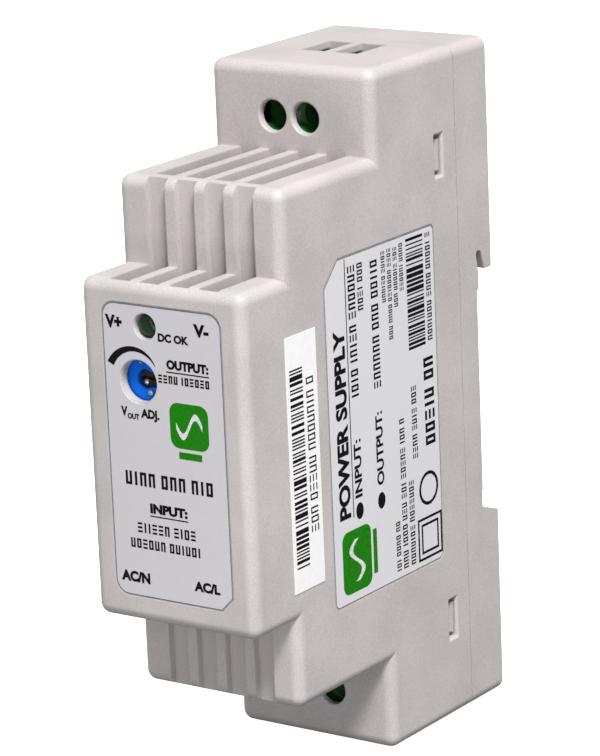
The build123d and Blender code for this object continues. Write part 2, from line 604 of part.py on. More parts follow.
with BuildPart() as transformer_bobbin:
    for flange in ((-22.6, -21.9), (-13.1, -12.4)):
        block((COIL_X - 5.8, COIL_X + 5.8), flange, (COIL_Z - 6.3, COIL_Z + 6.3))
    block((COIL_X - 2.7, COIL_X + 2.7), (-22.6, -12.4), (COIL_Z - 3.2, COIL_Z + 3.2))
    for rail in ((5.0, 8.9), (14.7, 18.6)):
        block((COIL_X - 7.4, COIL_X + 7.4), (-12.5, MAIN_Y - 0.6), rail)
    limb = (CORE_Z[0] - 0.1, CORE_Z[1] + 0.1)
    block((COIL_X - 2.1, COIL_X + 2.1), (-23.0, -12.0), limb, Mode.SUBTRACT)
    add_leads("transformer", MAIN_Y - 2)
save(transformer_bobbin, "transformer_bobbin")

with BuildPart() as transformer_winding:
    with BuildSketch(facing_front(-13.15)):
        with Locations((COIL_X, COIL_Z)):
            RectangleRounded(11.0, 11.6, 2.2)
            Rectangle(5.5, 6.5, mode=Mode.SUBTRACT)
    extrude(amount=8.7)
save(transformer_winding, "transformer_winding")

with BuildPart() as output_diode:
    with Locations((-2.1, MAIN_Y - 3.1, 22.0)):
        Cylinder(2.6, 5.0, rotation=(0, 90, 0))
        Cylinder(LEAD_R, 7.6, rotation=(0, 90, 0))
    for x, z in LEADS["output_diode"]:
        rod(x, z, (MAIN_Y - 3.1, LEAD_END_Y), LEAD_R)
        with Locations((x, MAIN_Y - 3.1, z)):
            Sphere(LEAD_R)
save(output_diode, "output_diode")

with BuildPart() as output_inductor:
    rod(6.4, 22.0, (MAIN_Y - 9.0, MAIN_Y - 0.2), 3.1)
    with BuildSketch(facing_front(MAIN_Y - 1.6)):
        with Locations((6.4, 22.0)):
            Circle(3.6)
            Circle(2.8, mode=Mode.SUBTRACT)
    extrude(amount=6.0, mode=Mode.SUBTRACT)
    add_leads("output_inductor", MAIN_Y - 1)
save(output_inductor, "output_inductor")

# ------------------------------------------------------------------------------------- the boards
RISER_Y = (FRONT_BOARD_Y + BOARD, MAIN_Y)
TAB_Z = [(z, z + 4.0) for z in (-2.0, 10.0)]
PIN_HOLE_R = 0.8

with BuildPart() as riser_board:
    block(RISER_X, RISER_Y, RISER_Z)
    for tab in TAB_Z:
        block(RISER_X, (RISER_Y[0] - BOARD - 0.3, RISER_Y[0] + 1), tab)
        block(RISER_X, (RISER_Y[1] - 1, RISER_Y[1] + BOARD + 0.3), tab)
save(riser_board, "riser_board")


def cut_tab_slots(y):
    """The two slots that the riser board's tabs pass through."""
    for tab in TAB_Z:
        block((RISER_X[0] - 0.1, RISER_X[1] + 0.1), y, (tab[0] - 0.1, tab[1] + 0.1), Mode.SUBTRACT)


with BuildPart() as main_board:
    block((-MAIN_HALF, MAIN_HALF), (MAIN_Y, MAIN_Y + BOARD), (BOTTOM_Z + WALL + 0.3, TOP_Z - WALL - 0.3))
    for side in (1, -1):
        notch = sorted((side * (ARM_X[0] - 0.2), side * (MAIN_HALF + 1)))
        for z in SNAP_Z:
            block(notch, (MAIN_Y - 1, MAIN_Y + BOARD + 1), (z - 2.7, z + 2.7), Mode.SUBTRACT)
    through = (MAIN_Y - 1, MAIN_Y + BOARD + 1)
    for x, z in BASE_POST:
        rod(x, z, through, 0.95, Mode.SUBTRACT)
    for places in LEADS.values():
        for x, z in places:
            rod(x, z, through, HOLE_R, Mode.SUBTRACT)
    for x in POLE_X:
        pin_z = (PIN_Z[0] + PIN_Z[1]) / 2
        rod(x, pin_z, through, PIN_HOLE_R, Mode.SUBTRACT)
        rod(-x, 2 * MIDDLE_Z - pin_z, through, PIN_HOLE_R, Mode.SUBTRACT)
    cut_tab_slots(through)
save(main_board, "main_board")

with BuildPart() as front_board:
    upright = (FRONT_LOW + WALL + 0.4, FRONT_HIGH - WALL - 0.4)
    block((-MAIN_HALF, MAIN_HALF), (FRONT_BOARD_Y, FRONT_BOARD_Y + BOARD), upright)
    through = (FRONT_BOARD_Y - 1, FRONT_BOARD_Y + BOARD + 1)
    for x, z in BOARD_POST:
        rod(x, z, through, 0.85, Mode.SUBTRACT)
    for x, z in LED_LEADS + TRIM_LEADS:
        rod(x, z, through, HOLE_R, Mode.SUBTRACT)
    cut_tab_slots(through)
save(front_board, "front_board")


def riser_chip(name, y, z, height, pins):
    """A moulded chip with two rows of feet on the riser board's inner side."""
    with BuildPart() as chip:
        block((RISER_X[1] + 0.3, RISER_X[1] + height), y, z)
        pitch = (z[1] - z[0]) / pins
        for i in range(pins):
            foot_z = z[0] + pitch * (i + 0.5)
            foot = (foot_z - 0.22, foot_z + 0.22)
            block((RISER_X[1], RISER_X[1] + 0.9), (y[0] - 0.9, y[1] + 0.9), foot)
    save(chip, name)


riser_chip("control_ic", (-38.0, -34.0), (8.0, 13.0), 1.8, 4)
riser_chip("optocoupler", (-38.5, -32.0), (0.0, 4.6), 3.6, 2)
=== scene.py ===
"""Looks of the DIN-rail power supply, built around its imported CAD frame.  Lengths are in metres."""
import math
import random

import bmesh
import bpy
from mathutils import Matrix, Vector


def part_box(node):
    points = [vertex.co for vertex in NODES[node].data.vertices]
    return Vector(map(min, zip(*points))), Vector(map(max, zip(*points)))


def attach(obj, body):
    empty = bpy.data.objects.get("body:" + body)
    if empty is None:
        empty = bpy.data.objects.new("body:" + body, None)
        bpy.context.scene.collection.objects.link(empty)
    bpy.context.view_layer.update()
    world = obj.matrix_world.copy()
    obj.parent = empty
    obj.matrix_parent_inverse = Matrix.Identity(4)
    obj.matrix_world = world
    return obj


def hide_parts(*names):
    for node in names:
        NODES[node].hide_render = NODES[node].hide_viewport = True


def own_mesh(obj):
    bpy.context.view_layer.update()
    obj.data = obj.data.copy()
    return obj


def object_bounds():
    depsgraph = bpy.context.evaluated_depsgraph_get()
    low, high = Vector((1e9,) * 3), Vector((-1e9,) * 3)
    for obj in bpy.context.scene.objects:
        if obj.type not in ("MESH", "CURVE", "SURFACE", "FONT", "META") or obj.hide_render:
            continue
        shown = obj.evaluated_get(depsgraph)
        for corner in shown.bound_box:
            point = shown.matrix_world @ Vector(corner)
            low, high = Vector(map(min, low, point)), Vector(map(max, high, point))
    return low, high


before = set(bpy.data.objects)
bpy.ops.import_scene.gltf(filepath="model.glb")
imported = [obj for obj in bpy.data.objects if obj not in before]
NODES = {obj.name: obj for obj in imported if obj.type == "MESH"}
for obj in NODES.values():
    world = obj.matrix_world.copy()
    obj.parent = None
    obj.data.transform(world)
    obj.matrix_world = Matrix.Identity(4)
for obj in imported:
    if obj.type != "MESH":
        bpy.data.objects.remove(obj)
cad_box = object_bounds()

MM = 0.001
SQUARE = ((-1, -1), (1, -1), (1, 1), (-1, 1))

bpy.context.scene.view_settings.view_transform = "Standard"


# ------------------------------------------------------------------------------- camera and stage
CAMERA_AT = Vector((266.46, -402.30, 128.34)) * MM
CAMERA_YAW = math.radians(35.16)
CAMERA_PITCH = math.radians(-14.96)
CAMERA_ROLL = math.radians(-2.44)
LENS_MM = 174.92
SENSOR_MM = 36

WHITE = (1.0, 1.0, 1.0)
WARM_WHITE = (1.0, 0.985, 0.97)

# name, direction from the object, distance and size in metres, watts, colour
LIGHTS = (
    ("key", (0.44, -0.34, 0.83), 1.4, 0.32, 28.0, WARM_WHITE),
    ("side_fill", (1.0, -0.45, 0.10), 0.7, 0.3, 0.65, WHITE),
    ("front_fill", (-0.25, -1.0, 0.0), 0.36, 0.08, 0.075, WHITE),
    ("near_fill", (0.26, -0.94, -0.18), 0.19, 0.03, 0.056, WHITE),
    ("left_fill", (-1.0, -0.05, 0.05), 0.8, 0.16, 1.5, WHITE),
    ("rear_fill", (-0.15, 1.0, 0.0), 0.8, 0.08, 1.7, WHITE),
)

FLOOR_HALF = 3.0
# each pair is what the camera sees and what lights the object
FLOOR_COLOUR = (0.92, 0.1)
FLOOR_GLOW = (1.0, 0.0)
WORLD_GLOW = (1.0, 0.40)


def add_camera():
    """The main view, from the front right and a little above."""
    camera = bpy.data.objects.new("camera", bpy.data.cameras.new("camera"))
    bpy.context.scene.collection.objects.link(camera)
    yaw = Matrix.Rotation(CAMERA_YAW, 4, "Z")
    pitch = Matrix.Rotation(math.pi / 2 + CAMERA_PITCH, 4, "X")
    roll = Matrix.Rotation(CAMERA_ROLL, 4, "Z")
    camera.matrix_world = Matrix.Translation(CAMERA_AT) @ yaw @ pitch @ roll
    camera.data.lens = LENS_MM
    camera.data.sensor_width = SENSOR_MM
    camera.data.clip_start = 0.01
    camera.data.clip_end = 20
    bpy.context.scene.camera = camera


def add_area(name, towards, distance, size, watts, colour):
    """A square soft light that shines at the middle of the object from the given direction."""
    lamp = bpy.data.lights.new(name, "AREA")
    lamp.size = size
    lamp.energy = watts
    lamp.color = colour
    light = bpy.data.objects.new(name, lamp)
    direction = Vector(towards).normalized()
    light.location = direction * distance
    light.rotation_euler = direction.to_track_quat("Z", "Y").to_euler()
    light.visible_camera = False
    bpy.context.scene.collection.objects.link(light)


def seen_and_thrown(tree, socket, pair):
    """One value for what the camera sees of the studio, another for the light it throws."""
    seen, thrown = pair
    rays = tree.nodes.new("ShaderNodeLightPath")
    mix = tree.nodes.new("ShaderNodeMix")
    mix.inputs["A"].default_value = thrown
    mix.inputs["B"].default_value = seen
    tree.links.new(rays.outputs["Is Camera Ray"], mix.inputs["Factor"])
    tree.links.new(mix.outputs["Result"], socket)


def add_stage():
    """White paper under the object, a white world round it, and the lights."""
    low = cad_box[0].z
    mesh = bpy.data.meshes.new("floor")
    corners = [(FLOOR_HALF * a, FLOOR_HALF * b, low) for a, b in SQUARE]
    mesh.from_pydata(corners, [], [(0, 1, 2, 3)])
    floor = bpy.data.objects.new("floor", mesh)
    bpy.context.scene.collection.objects.link(floor)
    material = bpy.data.materials.new("floor_paper")
    material.use_nodes = True
    shader = material.node_tree.nodes["Principled BSDF"]
    shader.inputs["Roughness"].default_value = 0.9
    # the paper is seen as pure white but throws little light back up at the object
    seen_and_thrown(material.node_tree, shader.inputs["Base Color"], FLOOR_COLOUR)
    seen_and_thrown(material.node_tree, shader.inputs["Emission Strength"], FLOOR_GLOW)
    shader.inputs["Emission Color"].default_value = (*WHITE, 1)
    mesh.materials.append(material)

    world = bpy.data.worlds.new("studio")
    world.use_nodes = True
    background = world.node_tree.nodes["Background"]
    background.inputs["Color"].default_value = (*WHITE, 1)
    seen_and_thrown(world.node_tree, background.inputs["Strength"], WORLD_GLOW)
    bpy.context.scene.world = world

    for light in LIGHTS:
        add_area(*light)


# -------------------------------------------------------------------------------------- materials
class Nodes:
    """A material's node tree with short calls for what the materials here share."""

    def __init__(self, name):
        self.material = bpy.data.materials.new(name)
        self.material.use_nodes = True
        self.tree = self.material.node_tree
        self.shader = self.tree.nodes["Principled BSDF"]
        self.place = self.add("ShaderNodeTexCoord").outputs["Object"]

    def add(self, kind, **settings):
        node = self.tree.nodes.new(kind)
        for name, value in settings.items():
            setattr(node, name, value)
        return node

    def link(self, source, target):
        self.tree.links.new(source, target)

    def set(self, **sockets):
        """Constants on the shader's own sockets, named with underscores for spaces."""
        for name, value in sockets.items():
            self.shader.inputs[name.replace("_", " ")].default_value = value

    def noise(self, scale, detail=3.0, stretch=None):
        """Noise in object space; scale is in features per metre."""
        node = self.add("ShaderNodeTexNoise")
        node.inputs["Scale"].default_value = scale
        node.inputs["Detail"].default_value = detail
        if stretch:
            mapping = self.add("ShaderNodeMapping")
            mapping.inputs["Scale"].default_value = stretch
            self.link(self.place, mapping.inputs["Vector"])
            self.link(mapping.outputs["Vector"], node.inputs["Vector"])
        else:
            self.link(self.place, node.inputs["Vector"])
        return node.outputs["Fac"]

    def ramp(self, value, stops):
        """A colour ramp through (position, grey or colour) stops."""
        node = self.add("ShaderNodeValToRGB")
        elements = node.color_ramp.elements
        while len(elements) < len(stops):
            elements.new(0.5)
        for element, (position, colour) in zip(elements, stops):
            element.position = position
            element.color = (*(colour if isinstance(colour, tuple) else (colour,) * 3), 1)
        self.link(value, node.inputs["Fac"])
        return node.outputs["Color"]

    def colour(self, value, dark, light, low=0.35, high=0.65):
        """Base colour between two close tones."""
        tones = self.ramp(value, [(low, dark), (high, light)])
        self.link(tones, self.shader.inputs["Base Color"])

    def roughness(self, value, smooth, rough, low=0.3, high=0.7):
        """Roughness between two close values."""
        tones = self.ramp(value, [(low, smooth), (high, rough)])
        self.link(tones, self.shader.inputs["Roughness"])

    def relief(self, heights, round_edges=0.0):
        """Bump from (value, depth in metres) pairs, over edges softened by a bevel radius."""
        normal = None
        if round_edges:
            bevel = self.add("ShaderNodeBevel", samples=4)
            bevel.inputs["Radius"].default_value = round_edges
            normal = bevel.outputs["Normal"]
        for value, depth in heights:
            bump = self.add("ShaderNodeBump")
            bump.inputs["Distance"].default_value = depth
            bump.inputs["Strength"].default_value = 1.0
            self.link(value, bump.inputs["Height"])
            if normal:
                self.link(normal, bump.inputs["Normal"])
            normal = bump.outputs["Normal"]
        if normal:
            self.link(normal, self.shader.inputs["Normal"])


def shade(colour, factor):
    """A colour made darker or lighter by a factor."""
    return tuple(min(1.0, c * factor) for c in colour)


def moulded_plastic(name, colour, rough=0.5, grain=0.018 * MM, grain_size=0.28 * MM,
                    edge=0.25 * MM, speckle=0.07, gloss=0.45):
    """Spark-eroded moulding: a fine grain, faint flow clouds and softened edges."""
    m = Nodes(name)
    fine = m.noise(1 / grain_size, 4.0)
    clouds = m.noise(90.0, 2.0)
    mix = m.add("ShaderNodeMix", data_type="FLOAT")
    mix.inputs["Factor"].default_value = 0.35
    m.link(fine, mix.inputs["A"])
    m.link(clouds, mix.inputs["B"])
    dark, light = shade(colour, 1 - speckle), shade(colour, 1 + speckle)
    m.colour(mix.outputs["Result"], dark, light, 0.4, 0.6)
    m.roughness(fine, rough - 0.07, rough + 0.07)
    m.relief([(clouds, 0.02 * MM), (fine, grain)], edge)
    m.set(Specular_IOR_Level=gloss)
    return m.material


def smooth_plastic(name, colour, rough=0.25, coat=0.0, edge=0.06 * MM):
    """Glossy moulding or lacquer with faint waviness."""
    m = Nodes(name)
    waves = m.noise(700.0, 2.0)
    fine = m.noise(5000.0, 2.0)
    m.colour(waves, shade(colour, 0.94), shade(colour, 1.06))
    m.roughness(fine, max(0.03, rough - 0.06), rough + 0.06)
    m.relief([(waves, 0.006 * MM), (fine, 0.002 * MM)], edge)
    m.set(Coat_Weight=coat, Coat_Roughness=0.08)
    return m.material


def metal(name, colour, rough=0.3, stretch=None, edge=0.04 * MM, scratch=0.003 * MM):
    """Plated, rolled or drawn metal; stretch sets the direction of its brushing."""
    m = Nodes(name)
    stain = m.noise(900.0, 3.0)
    lines = m.noise(5200.0, 3.0, stretch)
    m.colour(stain, shade(colour, 0.86), shade(colour, 1.08))
    m.roughness(lines, max(0.05, rough - 0.1), rough + 0.14)
    m.relief([(lines, scratch)], edge)
    m.set(Metallic=1.0)
    return m.material


def label_film(name, colour):
    """Printed polyester film: nearly flat, with a pearly fine structure."""
    m = Nodes(name)
    pearl = m.noise(6500.0, 2.0)
    waves = m.noise(260.0, 2.0)
    m.colour(pearl, shade(colour, 0.965), shade(colour, 1.035))
    m.roughness(waves, 0.34, 0.42)
    m.relief([(waves, 0.012 * MM), (pearl, 0.0015 * MM)])
    m.set(Specular_IOR_Level=0.4)
    return m.material


def paper(name, colour):
    """Coated paper with its fibres along Z."""
    m = Nodes(name)
    fibres = m.noise(2600.0, 5.0, (1.0, 1.0, 0.35))
    m.colour(fibres, shade(colour, 0.97), shade(colour, 1.02))
    m.roughness(fibres, 0.5, 0.62)
    m.relief([(fibres, 0.006 * MM)])
    return m.material


def ink(name, colour):
    """Screen ink, a little uneven in its cover and its gloss."""
    m = Nodes(name)
    cover = m.noise(4200.0, 3.0)
    m.colour(cover, shade(colour, 0.82), shade(colour, 1.2))
    m.roughness(cover, 0.5, 0.64)
    m.relief([(cover, 0.001 * MM)])
    m.set(Specular_IOR_Level=0.06)
    return m.material


def laminate(name, colour):
    """Circuit board: solder mask over the weave of the glass cloth."""
    m = Nodes(name)
    threads = []
    for direction in ("X", "Z"):
        weave = m.add("ShaderNodeTexWave", wave_type="BANDS", bands_direction=direction)
        weave.inputs["Scale"].default_value = 900.0
        m.link(m.place, weave.inputs["Vector"])
        threads.append((weave.outputs["Fac"], 0.004 * MM))
    cloud = m.noise(400.0, 3.0)
    m.colour(cloud, shade(colour, 0.75), shade(colour, 1.25))
    m.roughness(cloud, 0.22, 0.34)
    m.relief(threads)
    m.set(Coat_Weight=0.4, Coat_Roughness=0.1)
    return m.material


def led_epoxy(name):
    """Dark green translucent resin of an unlit indicator."""
    m = Nodes(name)
    depth = m.noise(600.0, 2.0)
    m.colour(depth, (0.008, 0.034, 0.012), (0.016, 0.055, 0.020))
    m.roughness(m.noise(3000.0, 2.0), 0.14, 0.24)
    m.relief([(depth, 0.03 * MM)], 0.5 * MM)
    m.set(Transmission_Weight=0.2, IOR=1.53, Specular_IOR_Level=0.35)
    return m.material


def ferrite(name):
    """Sintered black ferrite with small pits."""
    m = Nodes(name)
    pits = m.noise(2600.0, 5.0)
    m.colour(pits, (0.035, 0.035, 0.038), (0.08, 0.078, 0.078))
    m.roughness(pits, 0.45, 0.7)
    m.relief([(pits, 0.02 * MM)], 0.12 * MM)
    return m.material


def dipped(name, colour):
    """Dipped epoxy coating, a little lumpy and glossy."""
    m = Nodes(name)
    lumps = m.noise(320.0, 3.0)
    m.colour(lumps, shade(colour, 0.8), shade(colour, 1.2))
    m.roughness(lumps, 0.2, 0.4)
    m.relief([(lumps, 0.12 * MM), (m.noise(2200.0, 3.0), 0.008 * MM)])
    return m.material


WAVE_LENGTH = 0.314     # distance between the bands of a wave texture at scale 1


def wound(name, colour, direction, pitch):
    """Turns of enamelled wire or tape lying side by side."""
    m = Nodes(name)
    turns = m.add("ShaderNodeTexWave", wave_type="BANDS", bands_direction=direction,
                  wave_profile="SIN")
    turns.inputs["Scale"].default_value = WAVE_LENGTH / pitch
    turns.inputs["Distortion"].default_value = 0.3
    m.link(m.place, turns.inputs["Vector"])
    # painted shade and highlight: the colour darkens in the grooves between turns and lightens on
    # each turn's crest, following the bands of the relief
    m.colour(turns.outputs["Fac"], shade(colour, 0.45), shade(colour, 1.15), 0.1, 0.7)
    m.roughness(m.noise(1500.0, 3.0), 0.18, 0.32)
    m.relief([(turns.outputs["Fac"], 0.08 * MM)])
    m.set(Coat_Weight=0.3)
    return m.material


HOUSING = (0.49, 0.458, 0.452)
LABEL_GREY = (0.55, 0.54, 0.575)
LABEL_WHITE = (0.665, 0.66, 0.695)
INK_BLACK = (0.006, 0.0055, 0.007)
# dark grey of the painted shadow line round the labels
LABEL_SHADOW_GREY = (0.10, 0.10, 0.11)
MARK_GREEN = (0.012, 0.18, 0.005)

MATERIALS = {
    "housing": moulded_plastic("housing_grey", HOUSING, grain_size=0.17 * MM, speckle=0.11),
    "foot": moulded_plastic("foot_black", (0.022, 0.022, 0.024), 0.42),
    "label": label_film("label_silver_grey", LABEL_GREY),
    "side_label": label_film("label_pale_grey", LABEL_WHITE),
    "sticker": paper("sticker_white", (0.87, 0.87, 0.88)),
    "ink": ink("print_black", INK_BLACK),
    # the painted shadow line round the labels
    "shadow_line_ink": ink("painted_label_shadow", LABEL_SHADOW_GREY),
    "green_ink": ink("print_green", MARK_GREEN),
    "white_ink": ink("print_white", (0.62, 0.63, 0.64)),
    "board": laminate("board_green", (0.012, 0.10, 0.03)),
    "terminal": moulded_plastic("terminal_green", (0.016, 0.15, 0.024), 0.36, 0.006 * MM,
                                0.2 * MM, 0.08 * MM),
    "led": led_epoxy("led_epoxy"),
    "trimmer": moulded_plastic("trimmer_blue", (0.001, 0.135, 0.72), 0.4, 0.012 * MM,
                               0.25 * MM, 0.08 * MM, gloss=0.12),
    "rotor": moulded_plastic("rotor_black", (0.012, 0.011, 0.012), 0.35, 0.006 * MM,
                             0.15 * MM, 0.05 * MM),
    "steel": metal("zinc_steel", (0.62, 0.63, 0.64), 0.28, (1.0, 0.15, 1.0)),
    "spring": metal("spring_wire", (0.55, 0.55, 0.56), 0.25, (1.0, 1.0, 0.2)),
    "nickel": metal("nickel_plate", (0.60, 0.57, 0.52), 0.32),
    "tin": metal("tinned_brass", (0.70, 0.68, 0.63), 0.35),
    "aluminium": metal("aluminium_sheet", (0.72, 0.72, 0.73), 0.35, (1.0, 0.1, 1.0)),
    "epoxy_black": moulded_plastic("epoxy_black", (0.018, 0.018, 0.02), 0.5, 0.01 * MM,
                                   0.2 * MM),
    "varistor": dipped("coating_blue", (0.02, 0.09, 0.36)),
    "thermistor": dipped("coating_dark_green", (0.03, 0.045, 0.03)),
    "film_cap": smooth_plastic("box_yellow", (0.62, 0.42, 0.03), 0.3),
    "ferrite": ferrite("ferrite"),
    "copper": wound("enamelled_copper", (0.58, 0.20, 0.05), "Z", 0.55 * MM),
    "tape": wound("polyester_tape", (0.72, 0.52, 0.05), "Y", 4.0 * MM),
    "sleeve": smooth_plastic("sleeve_black", (0.012, 0.014, 0.03), 0.22, 0.3),
    "bobbin": smooth_plastic("bobbin_black", (0.02, 0.018, 0.016), 0.35),
}

NODE_MATERIAL = {
    "front_cover": "housing", "rear_base": "housing", "din_foot": "foot", "foot_spring": "spring",
    "front_label": "label", "side_label": "side_label", "barcode_sticker": "sticker",
    "main_board": "board", "front_board": "board", "riser_board": "board",
    "output_terminal_housing": "terminal", "input_terminal_housing": "terminal",
    "status_led": "led", "trimmer_body": "trimmer", "trimmer_rotor": "rotor",
    "fuse": "epoxy_black", "inrush_thermistor": "thermistor", "varistor": "varistor",
    "y_capacitor": "varistor", "bridge_rectifier": "epoxy_black", "x_capacitor": "film_cap",
    "choke_core": "ferrite", "choke_winding_1": "copper", "choke_winding_2": "copper",
    "bulk_capacitor": "sleeve", "output_capacitor_1": "sleeve", "output_capacitor_2": "sleeve",
    "switching_transistor": "epoxy_black", "heat_sink": "aluminium",
    "transformer_core": "ferrite", "transformer_bobbin": "bobbin", "transformer_winding": "tape",
    "output_diode": "epoxy_black", "output_inductor": "ferrite",
    "control_ic": "epoxy_black", "optocoupler": "epoxy_black",
}
for end in ("output", "input"):
    for number in (1, 2):
        NODE_MATERIAL[f"{end}_screw_{number}"] = "steel"
        NODE_MATERIAL[f"{end}_clamp_{number}"] = "nickel"
        NODE_MATERIAL[f"{end}_contact_{number}"] = "tin"


def paint_nodes():
    """Give each CAD node its one material."""
    for name, node in NODES.items():
        node.data.materials.clear()
        node.data.materials.append(MATERIALS[NODE_MATERIAL[name]])


# --------------------------------------------------------------------------------- piece building
def add_piece(name, mesh, material, body="root"):
    """Link a finished mesh as a piece of the object that moves with a body."""
    piece = bpy.data.objects.new(name, mesh)
    bpy.context.scene.collection.objects.link(piece)
    mesh.materials.clear()
    mesh.materials.append(MATERIALS[material])
    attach(piece, body)
    return piece


def mesh_from(bm, name):
    """Turn a bmesh into a mesh with its faces turned outwards."""
    bmesh.ops.recalc_face_normals(bm, faces=bm.faces)
    mesh = bpy.data.meshes.new(name)
    bm.to_mesh(mesh)
    bm.free()
    return mesh


INK = 0.015 * MM        # thickness of the ink
ARC_STEPS = 48          # sides of a printed disc or ring
CORNER_STEPS = 8        # sides of a rounded corner
CUT_INSET = 0.586       # how much a cut corner shrinks for each unit of inset, 2 - sqrt(2)


def outline(u0, u1, v0, v1, corners):
    """Points round a rectangle from its upper right corner on; a negative corner is cut."""
    points = []
    for index, size in enumerate(corners):
        u, inward = (u1, -1) if index in (0, 3) else (u0, 1)
        v, downward = (v1, -1) if index < 2 else (v0, 1)
        if size < 0:
            cut = [(u, v - downward * size), (u - inward * size, v)]
            points += cut if index % 2 == 0 else cut[::-1]
            continue
        for step in range(CORNER_STEPS + 1):
            a = math.pi / 2 * (index + step / CORNER_STEPS)
            points.append((u + inward * size + size * math.cos(a),
                           v + downward * size + size * math.sin(a)))
    return points


def circle(u, v, radius_u, radius_v):
    """Points round a circle or an ellipse."""
    turn = [2 * math.pi * i / ARC_STEPS for i in range(ARC_STEPS)]
    return [(u + radius_u * math.cos(a), v + radius_v * math.sin(a)) for a in turn]


def square_points(u, v, half):
    """The corners of an upright square."""
    return [(u + half * a, v + half * b) for a, b in SQUARE]


class Print:
    """Ink on a flat label, drawn in the label's own (u, v) millimetres and then stood on it."""

    def __init__(self, right, up, surface):
        """right and up are the reading directions; surface is a point on the label's outer face."""
        out = Vector(right).cross(Vector(up))
        self.matrix = Matrix((Vector(right), Vector(up), out)).transposed().to_4x4()
        self.matrix.translation = out * Vector(surface).dot(out)
        self.bm = bmesh.new()

    def polygon(self, points):
        """A closed flat slab of ink with the given outline."""
        low = [self.bm.verts.new((u * MM, v * MM, 0)) for u, v in points]
        high = [self.bm.verts.new((u * MM, v * MM, INK)) for u, v in points]
        self.bm.faces.new(low)
        self.bm.faces.new(high)
        for i in range(len(points)):
            j = (i + 1) % len(points)
            self.bm.faces.new((low[i], low[j], high[j], high[i]))

    def bar(self, u0, u1, v0, v1):
        self.polygon([(u0, v0), (u1, v0), (u1, v1), (u0, v1)])

    def band(self, outer, inner, closed=True):
        """Ink between two outlines with the same number of points."""
        rows = [[self.bm.verts.new((u * MM, v * MM, h)) for u, v in line]
                for h in (0, INK) for line in (outer, inner)]
        out_low, in_low, out_high, in_high = rows
        count = len(outer)
        for i in range(count if closed else count - 1):
            j = (i + 1) % count
            self.bm.faces.new((out_low[i], out_low[j], in_low[j], in_low[i]))
            self.bm.faces.new((out_high[i], out_high[j], in_high[j], in_high[i]))
            self.bm.faces.new((out_low[i], out_low[j], out_high[j], out_high[i]))
            self.bm.faces.new((in_low[i], in_low[j], in_high[j], in_high[i]))
        if not closed:
            for i in (0, -1):
                self.bm.faces.new((out_low[i], out_high[i], in_high[i], in_low[i]))

    def disc(self, u, v, radius_u, radius_v):
        self.polygon(circle(u, v, radius_u, radius_v))

    def ring(self, u, v, radius, width):
        self.band(circle(u, v, radius, radius), circle(u, v, radius - width, radius - width))

    def square(self, u, v, half, width):
        self.band(square_points(u, v, half), square_points(u, v, half - width))

    def rounded(self, u0, u1, v0, v1, radius):
        """A filled rectangle with round corners."""
        self.polygon(outline(u0, u1, v0, v1, [radius] * 4))

    def frame(self, u0, u1, v0, v1, corners, width):
        """A thin dark line just inside a label's edge: painted shadow where the label sits in its
        recess.
        """
        inner = [c - width if c > 0 else c + CUT_INSET * width for c in corners]
        self.band(outline(u0, u1, v0, v1, corners),
                  outline(u0 + width, u1 - width, v0 + width, v1 - width, inner))

    def word(self, text, u0, u1, v0, v1, bold=0.0):
        """Lettering stretched to fill a box."""
        curve = bpy.data.curves.new("word", "FONT")
        curve.body = text
        curve.offset = bold
        curve.extrude = 0.5
        curve.resolution_u = 4
        source = bpy.data.objects.new("word", curve)
        bpy.context.scene.collection.objects.link(source)
        bpy.context.view_layer.update()
        mesh = bpy.data.meshes.new_from_object(source)
        low = Vector([min(v.co[i] for v in mesh.vertices) for i in range(3)])
        high = Vector([max(v.co[i] for v in mesh.vertices) for i in range(3)])
        for vertex in mesh.vertices:
            share = [(vertex.co[i] - low[i]) / (high[i] - low[i]) for i in range(3)]
            vertex.co = ((u0 + share[0] * (u1 - u0)) * MM, (v0 + share[1] * (v1 - v0)) * MM,
                         share[2] * INK)
        self.bm.from_mesh(mesh)
        bpy.data.meshes.remove(mesh)
        bpy.data.objects.remove(source)
        bpy.data.curves.remove(curve)

    def sign(self, kind, u0, u1, v0, v1, stroke):
        """One abstract sign made of strokes: a box, an arch, a cup, a post or three rungs."""
        low, high = v0 + stroke, v1 - stroke
        if kind == "box":
            left, right = u0 + stroke, u1 - stroke
            self.band([(u0, v0), (u1, v0), (u1, v1), (u0, v1)],
                      [(left, low), (right, low), (right, high), (left, high)])
        elif kind == "post":
            self.bar((u0 + u1 - stroke) / 2, (u0 + u1 + stroke) / 2, v0, v1)
        elif kind == "rungs":
            for middle in (v0 + stroke / 2, (v0 + v1) / 2, v1 - stroke / 2):
                self.bar(u0, u1, middle - stroke / 2, middle + stroke / 2)
        else:
            self.bar(u0, u0 + stroke, v0, v1)
            self.bar(u1 - stroke, u1, v0, v1)
            across = (high, v1) if kind == "arch" else (v0, low)
            self.bar(u0 + stroke, u1 - stroke, *across)

    def greek(self, u0, u1, v0, v1, seed, weight=0.18):
        """A line of abstract signs in groups, which stands for words."""
        rng = random.Random(seed)
        height = v1 - v0
        wide, narrow, gap = 0.55 * height, 0.3 * height, 0.2 * height
        u = u0
        left = rng.randint(3, 7)
        while u + wide < u1:
            kind = rng.choice(("box", "arch", "cup", "post", "rungs", "box"))
            width = narrow if kind == "post" else wide
            self.sign(kind, u, u + width, v0, v1, weight * height)
            left -= 1
            u += width + (gap if left else wide)
            left = left or rng.randint(3, 7)

    def stripes(self, u0, u1, v0, v1, seed, module):
        """A plain field of stripes across u, in whole modules."""
        rng = random.Random(seed)
        u = u0
        while u < u1 - module:
            width = rng.choice((1, 1, 1, 2, 2, 3)) * module
            self.bar(u, min(u + width, u1), v0, v1)
            u += width + rng.choice((1, 1, 1, 2, 2)) * module

